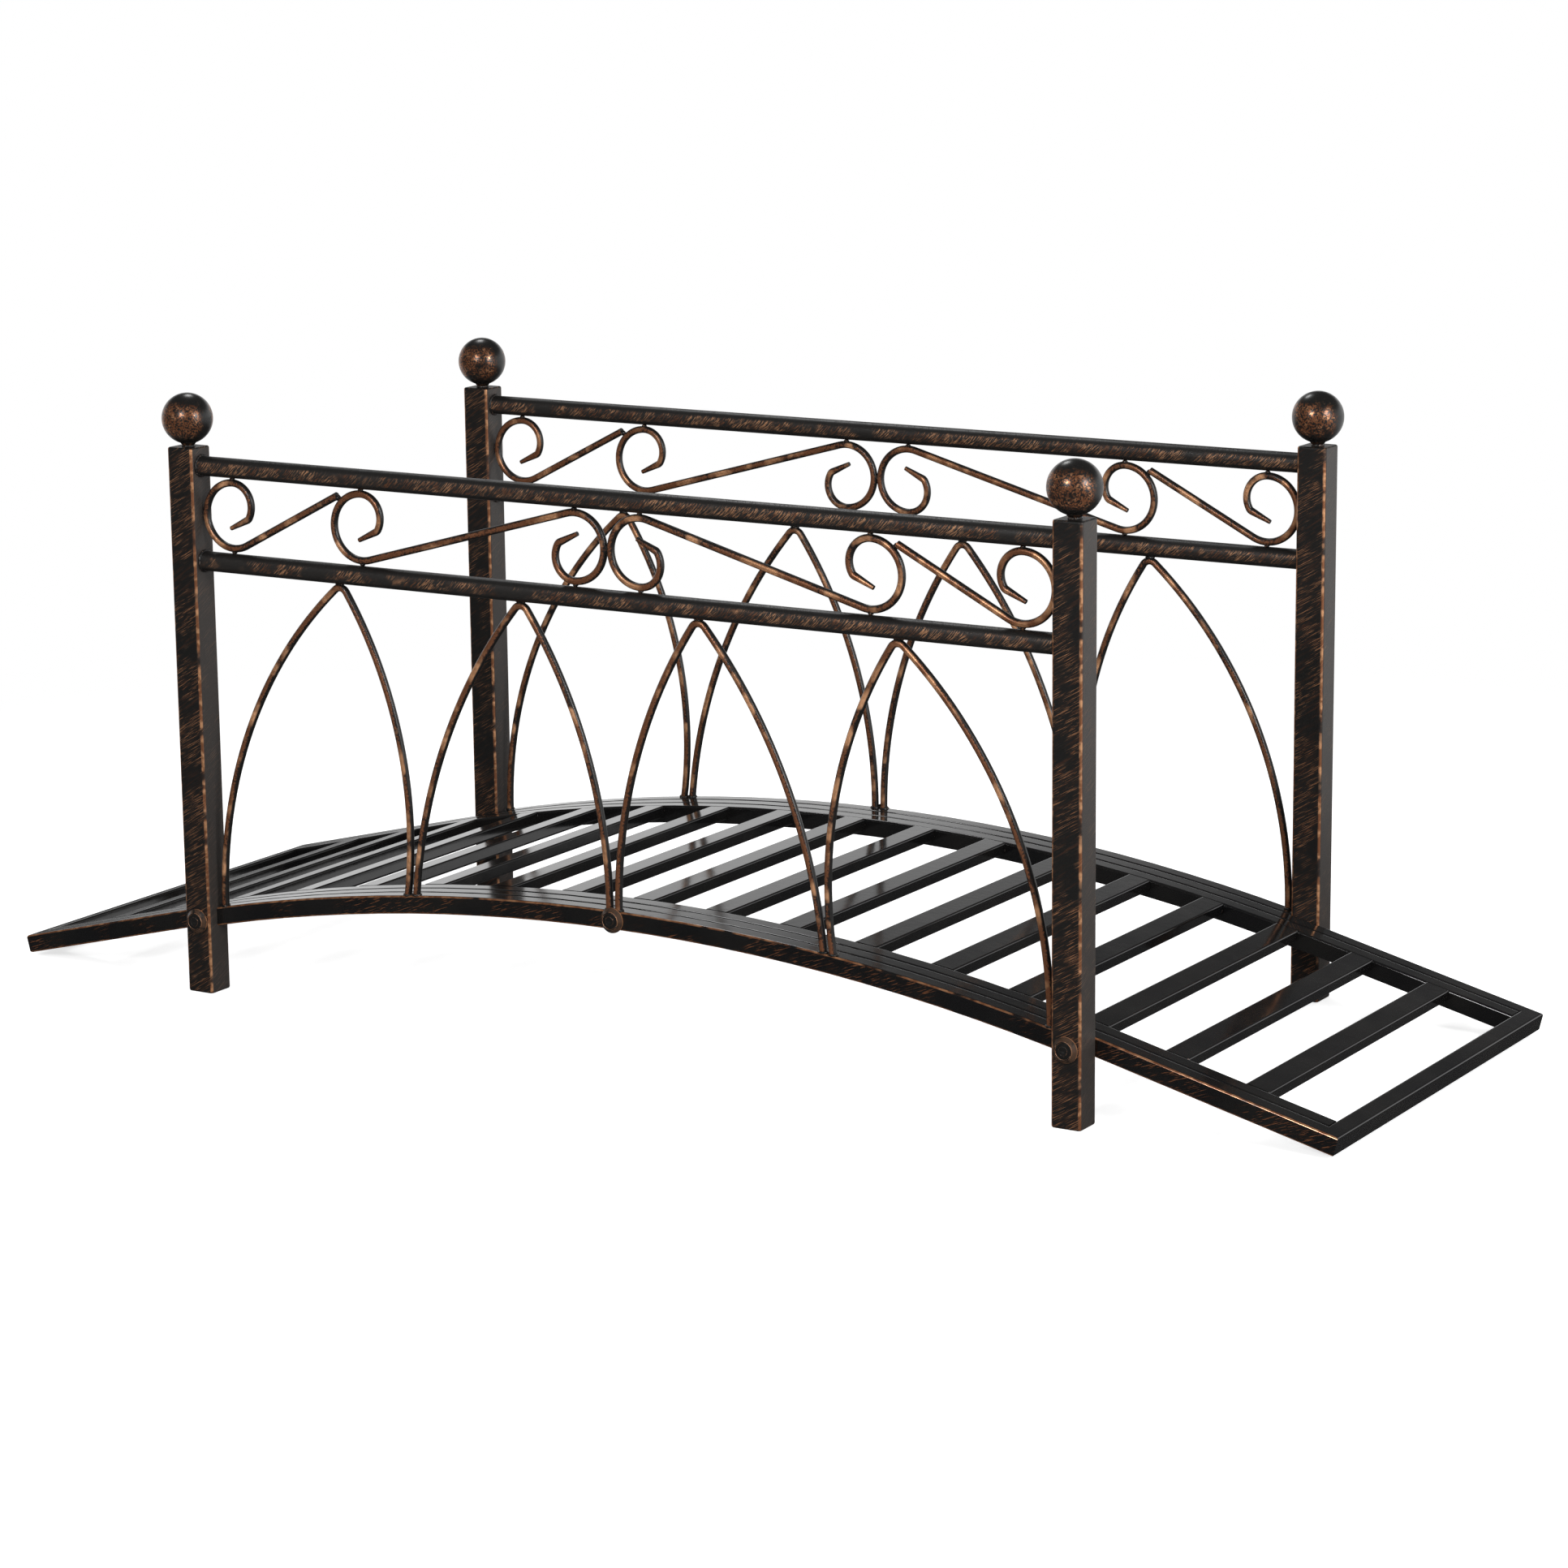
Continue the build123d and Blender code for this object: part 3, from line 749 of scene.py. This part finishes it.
class BRIDGE_OT_deck(bpy.types.Operator):
    """Finish the deck tubes, slats and lower bars, and weld the slats' ends"""

    bl_idname = "bridge.deck"
    bl_label = "Deck"

    def execute(self, context):
        colours, welds = colours_and_welds(context)
        plain = gloss_deck_steel(colours, "gloss_powder_coated_steel")
        bar_name = "gloss_powder_coated_steel_copper_edged_bar"
        bar = gloss_deck_steel(colours, bar_name, COPPER_FADE)
        post_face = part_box("front_right_post")[0].x / MM
        tube_name = "gloss_powder_coated_steel_copper_edged_ends"
        tube = gloss_deck_steel(colours, tube_name, post_face)
        finish_nodes(("_inner_deck_rail", "_end_bar", "treads"), plain)
        finish_nodes(("_lower_bar",), bar)
        finish_nodes(("_outer_deck_rail",), tube)
        weld = finish_of(WELD_FINISH, sprayed_weld, colours)
        rng = random.Random(welds.seed + 4)
        bead, bead_points, bead_sides = 0.9 * MM, 8, 8
        seat_depth, end_depth, slats_apart = 0.2 * MM, 0.1 * MM, 20 * MM
        side_from_middle, margin = 9 * MM, 0.1

        def slat_ends(shape):
            low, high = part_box("treads")
            for edge in (low.y, high.y):
                inward = Vector((0, seat_depth * (1 if edge < 0 else -1), 0))
                ends = [p for p in points_of("treads") if abs(p.y - edge) < end_depth]
                for group in groups_along(ends, slats_apart):
                    middle = centre_of(group)
                    for way in (-1, 1):
                        side = [p for p in group if (p.x - middle.x) * way > side_from_middle]
                        top = max(side, key=lambda p: p.z)
                        bottom = min(side, key=lambda p: p.z)
                        points = []
                        for i in range(bead_points):
                            down = margin + (1 - 2 * margin) * i / (bead_points - 1)
                            points.append(top.lerp(bottom, down) + inward)
                        add_bead(shape, points, bead, rng, closed=False, sides=bead_sides)

        new_piece("slat_end_welds", slat_ends, weld)
        return {"FINISHED"}


class BRIDGE_OT_bolts(bpy.types.Operator):
    """Finish the bolt caps and raise the rims of their faces"""

    bl_idname = "bridge.bolts"
    bl_label = "Bolts"

    def execute(self, context):
        colours, welds = colours_and_welds(context)
        cap = capped_bolt(colours)
        finish_nodes(("_bolts",), cap)
        rng = random.Random(welds.seed + 5)
        bolts_apart, cap_depth = 100 * MM, 1.0 * MM
        cap_rings = ((6.8, 0.75, 0.55), (3.4, 0.45, 0.4))  # Radius, depth and wire, in mm.

        def rings(shape):
            for side, outward in (("front", -1), ("back", 1)):
                for group in groups_along(points_of(f"{side}_bolts"), bolts_apart):
                    face = max(p.y * outward for p in group)
                    rim = [p for p in group if p.y * outward > face - cap_depth]
                    low = Vector(min(p[i] for p in rim) for i in range(3))
                    high = Vector(max(p[i] for p in rim) for i in range(3))
                    for radius, depth, wire in cap_rings:
                        seat = (low + high) / 2
                        seat.y = (face - depth * MM) * outward
                        axis = Vector((0, outward, 0))
                        add_ring_bead(shape, seat, axis, radius * MM, wire * MM, rng)

        new_piece("bolt_cap_rings", rings, cap)
        return {"FINISHED"}


# Studio, in metres, but the film's width in mm. Each lamp has its swing from the camera's
# bearing and its lift above level, in degrees, and its share of the lamps' power.
FILM_WIDTH = 36
LAMPS = (("left_lamp", -30, 26, 1), ("right_lamp", 40, 22, 1), ("back_lamp", 194, 50, 0.4))
LAMP_AIM = Vector((0, 0, 0.25))
LAMP_DISTANCE = 3.2
LAMP_SIZE = 0.7
PANEL_FROM_AIM = Vector((3.0, -0.6, 0.85))
PANEL_WIDTH, PANEL_HEIGHT = 1.4, 2.2
FLOOR_REACH = 12
SQUARE = ((-1, -1), (1, -1), (1, 1), (-1, 1))


class BRIDGE_OT_stage(bpy.types.Operator):
    """Lay the floor, hang the lamps and place the camera"""

    bl_idname = "bridge.stage"
    bl_label = "Studio"

    def execute(self, context):
        studio = context.scene.bridge_studio
        white_floor(context.scene)
        white_room(context.scene, studio.fill)
        aim = Vector((0, 0, studio.aim_height))
        bearing, height = math.radians(studio.azimuth), math.radians(studio.elevation)
        away = towards(bearing, height)
        right = Vector((math.cos(bearing), math.sin(bearing), 0))
        up = away.cross(right)
        lens = bpy.data.cameras.new("camera")
        lens.lens, lens.sensor_width = studio.lens, FILM_WIDTH
        camera = bpy.data.objects.new("camera", lens)
        context.scene.collection.objects.link(camera)
        context.scene.camera = camera
        camera.location = aim + away * studio.distance
        camera.location += right * studio.shift_right + up * studio.shift_up
        roll = Matrix.Rotation(math.radians(studio.roll), 3, away)
        axes = Matrix((roll @ right, roll @ up, roll @ away)).transposed()
        camera.rotation_euler = axes.to_euler()
        for name, swing, lift, share in LAMPS:
            turn = bearing + math.radians(swing)
            round_lamp(context.scene, name, turn, math.radians(lift), studio.lamp_power * share)
        side_panel(context.scene, studio.panel_power)
        return {"FINISHED"}


def towards(bearing, lift):
    """Direction from the bridge at a bearing from its front and a lift above level."""
    level = math.cos(lift)
    return Vector((math.sin(bearing) * level, -math.cos(bearing) * level, math.sin(lift)))


def hang_lamp(scene, lamp, away, distance=1.0):
    """Hang a lamp off the middle of the bridge, shining back on it."""
    thing = bpy.data.objects.new(lamp.name, lamp)
    scene.collection.objects.link(thing)
    thing.location = LAMP_AIM + away * distance
    thing.rotation_euler = away.to_track_quat("Z", "Y").to_euler()


def round_lamp(scene, name, bearing, lift, power):
    """A round lamp that shows as a spot of light on the balls."""
    lamp = bpy.data.lights.new(name, "AREA")
    lamp.shape, lamp.size, lamp.energy = "DISK", LAMP_SIZE, power
    hang_lamp(scene, lamp, towards(bearing, lift), LAMP_DISTANCE)


def side_panel(scene, power):
    """A tall soft panel at the bridge's right, which greys the right faces of the posts."""
    lamp = bpy.data.lights.new("right_panel", "AREA")
    lamp.shape, lamp.energy = "RECTANGLE", power
    lamp.size, lamp.size_y = PANEL_WIDTH, PANEL_HEIGHT
    hang_lamp(scene, lamp, PANEL_FROM_AIM)


def white_floor(scene):
    """A pale floor that goes over into the white of the room."""
    mesh = bpy.data.meshes.new("floor")
    corners = [(x * FLOOR_REACH, y * FLOOR_REACH, 0) for x, y in SQUARE]
    mesh.from_pydata(corners, [], [(0, 1, 2, 3)])
    floor = bpy.data.objects.new("floor", mesh)
    scene.collection.objects.link(floor)
    material = bpy.data.materials.new("studio_floor")
    material.use_nodes = True
    material.node_tree.nodes.clear()
    add = partial(add_node, material.node_tree)
    place = add("TexCoord")["Object"]
    distance = add("VectorMath", (place,), operation="LENGTH")["Value"]
    path = add("LightPath")
    matt = add("BsdfDiffuse", {"Color": (0.8, 0.8, 0.8, 1)})[0]

    # To the camera: pale near the bridge, where its shadow lies, and plain white beyond.
    lift = add("Emission", (WHITE, 0.70))[0]
    near = add("AddShader", (matt, lift))[0]
    white = add("Emission", (WHITE, 1.0))[0]
    beyond = add("MapRange", (distance, 0.8, 1.5), **SMOOTH)[0]
    shown = add("MixShader", (beyond, near, white))[0]

    # To gloss: dark under and before the bridge, bright far behind it.
    behind = add("MapRange", (add("SeparateXYZ", (place,))["Y"], -0.7, 0.5), **SMOOTH)[0]
    far = add("MapRange", (distance, 0.7, 1.7), **SMOOTH)[0]
    glow = add("Math", (behind, far), **TIMES)[0]
    glow = add("Math", (glow, 0.80, 0.06), operation="MULTIPLY_ADD")[0]
    mirrored = add("Emission", (WHITE, glow))[0]
    lit = add("MixShader", (path["Is Glossy Ray"], matt, mirrored))[0]
    final = add("MixShader", (path["Is Camera Ray"], lit, shown))[0]
    add("OutputMaterial", (final,))
    mesh.materials.append(material)


def white_room(scene, fill):
    """White to the camera; to gloss a white wall behind the bridge that is dark higher up."""
    world = bpy.data.worlds.new("white_room")
    scene.world = world
    world.use_nodes = True
    world.node_tree.nodes.clear()
    add = partial(add_node, world.node_tree)
    path = add("LightPath")
    ray = add("SeparateXYZ", (add("TexCoord")["Generated"],))
    above = add("MapRange", (ray["Z"], 0.20, 0.42), **SMOOTH)[0]
    wall = add("Math", (1.0, above), **LESS)[0]
    behind = add("MapRange", (ray["Y"], -0.5, 0.5), **SMOOTH)[0]
    wall = add("Math", (wall, behind), **TIMES)[0]
    mirrored = add("Math", (wall, 0.95, 0.08), operation="MULTIPLY_ADD")[0]
    lit = add("Mix", {0: path["Is Glossy Ray"], 2: fill, 3: mirrored}, data_type="FLOAT")[0]
    shown = add("Mix", {0: path["Is Camera Ray"], 2: lit, 3: 1.0}, data_type="FLOAT")[0]
    light = add("Background", (WHITE, shown))[0]
    add("OutputWorld", (light,))
    scene.view_settings.view_transform = "Standard"


class BRIDGE_PT_panel(bpy.types.Panel):
    """Steps that dress the bridge, in order"""

    bl_idname = "BRIDGE_PT_panel"
    bl_label = "Moon Bridge"
    bl_space_type = "VIEW_3D"
    bl_region_type = "UI"
    bl_category = "Moon Bridge"

    def draw(self, context):
        for step in STEPS:
            self.layout.operator(step.bl_idname)
        scene = context.scene
        for group in (scene.bridge_finish, scene.bridge_welds, scene.bridge_studio):
            box = self.layout.box()
            for name in group.bl_rna.properties.keys():
                if name not in {"rna_type", "name"}:
                    box.prop(group, name)


STEPS = (
    BRIDGE_OT_posts,
    BRIDGE_OT_rails,
    BRIDGE_OT_arches,
    BRIDGE_OT_scrolls,
    BRIDGE_OT_deck,
    BRIDGE_OT_bolts,
    BRIDGE_OT_stage,
)
GROUPS = (BridgeFinish, BridgeWelds, BridgeStudio)


def register():
    for group in GROUPS + STEPS + (BRIDGE_PT_panel,):
        bpy.utils.register_class(group)
    bpy.types.Scene.bridge_finish = PointerProperty(type=BridgeFinish)
    bpy.types.Scene.bridge_welds = PointerProperty(type=BridgeWelds)
    bpy.types.Scene.bridge_studio = PointerProperty(type=BridgeStudio)


def unregister():
    del bpy.types.Scene.bridge_studio
    del bpy.types.Scene.bridge_welds
    del bpy.types.Scene.bridge_finish
    for group in reversed(GROUPS + STEPS + (BRIDGE_PT_panel,)):
        bpy.utils.unregister_class(group)


def main():
    register()
    bpy.ops.bridge.posts()
    bpy.ops.bridge.rails()
    bpy.ops.bridge.arches()
    bpy.ops.bridge.scrolls()
    bpy.ops.bridge.deck()
    bpy.ops.bridge.bolts()
    bpy.ops.bridge.stage()


if __name__ == "__main__":
    main()
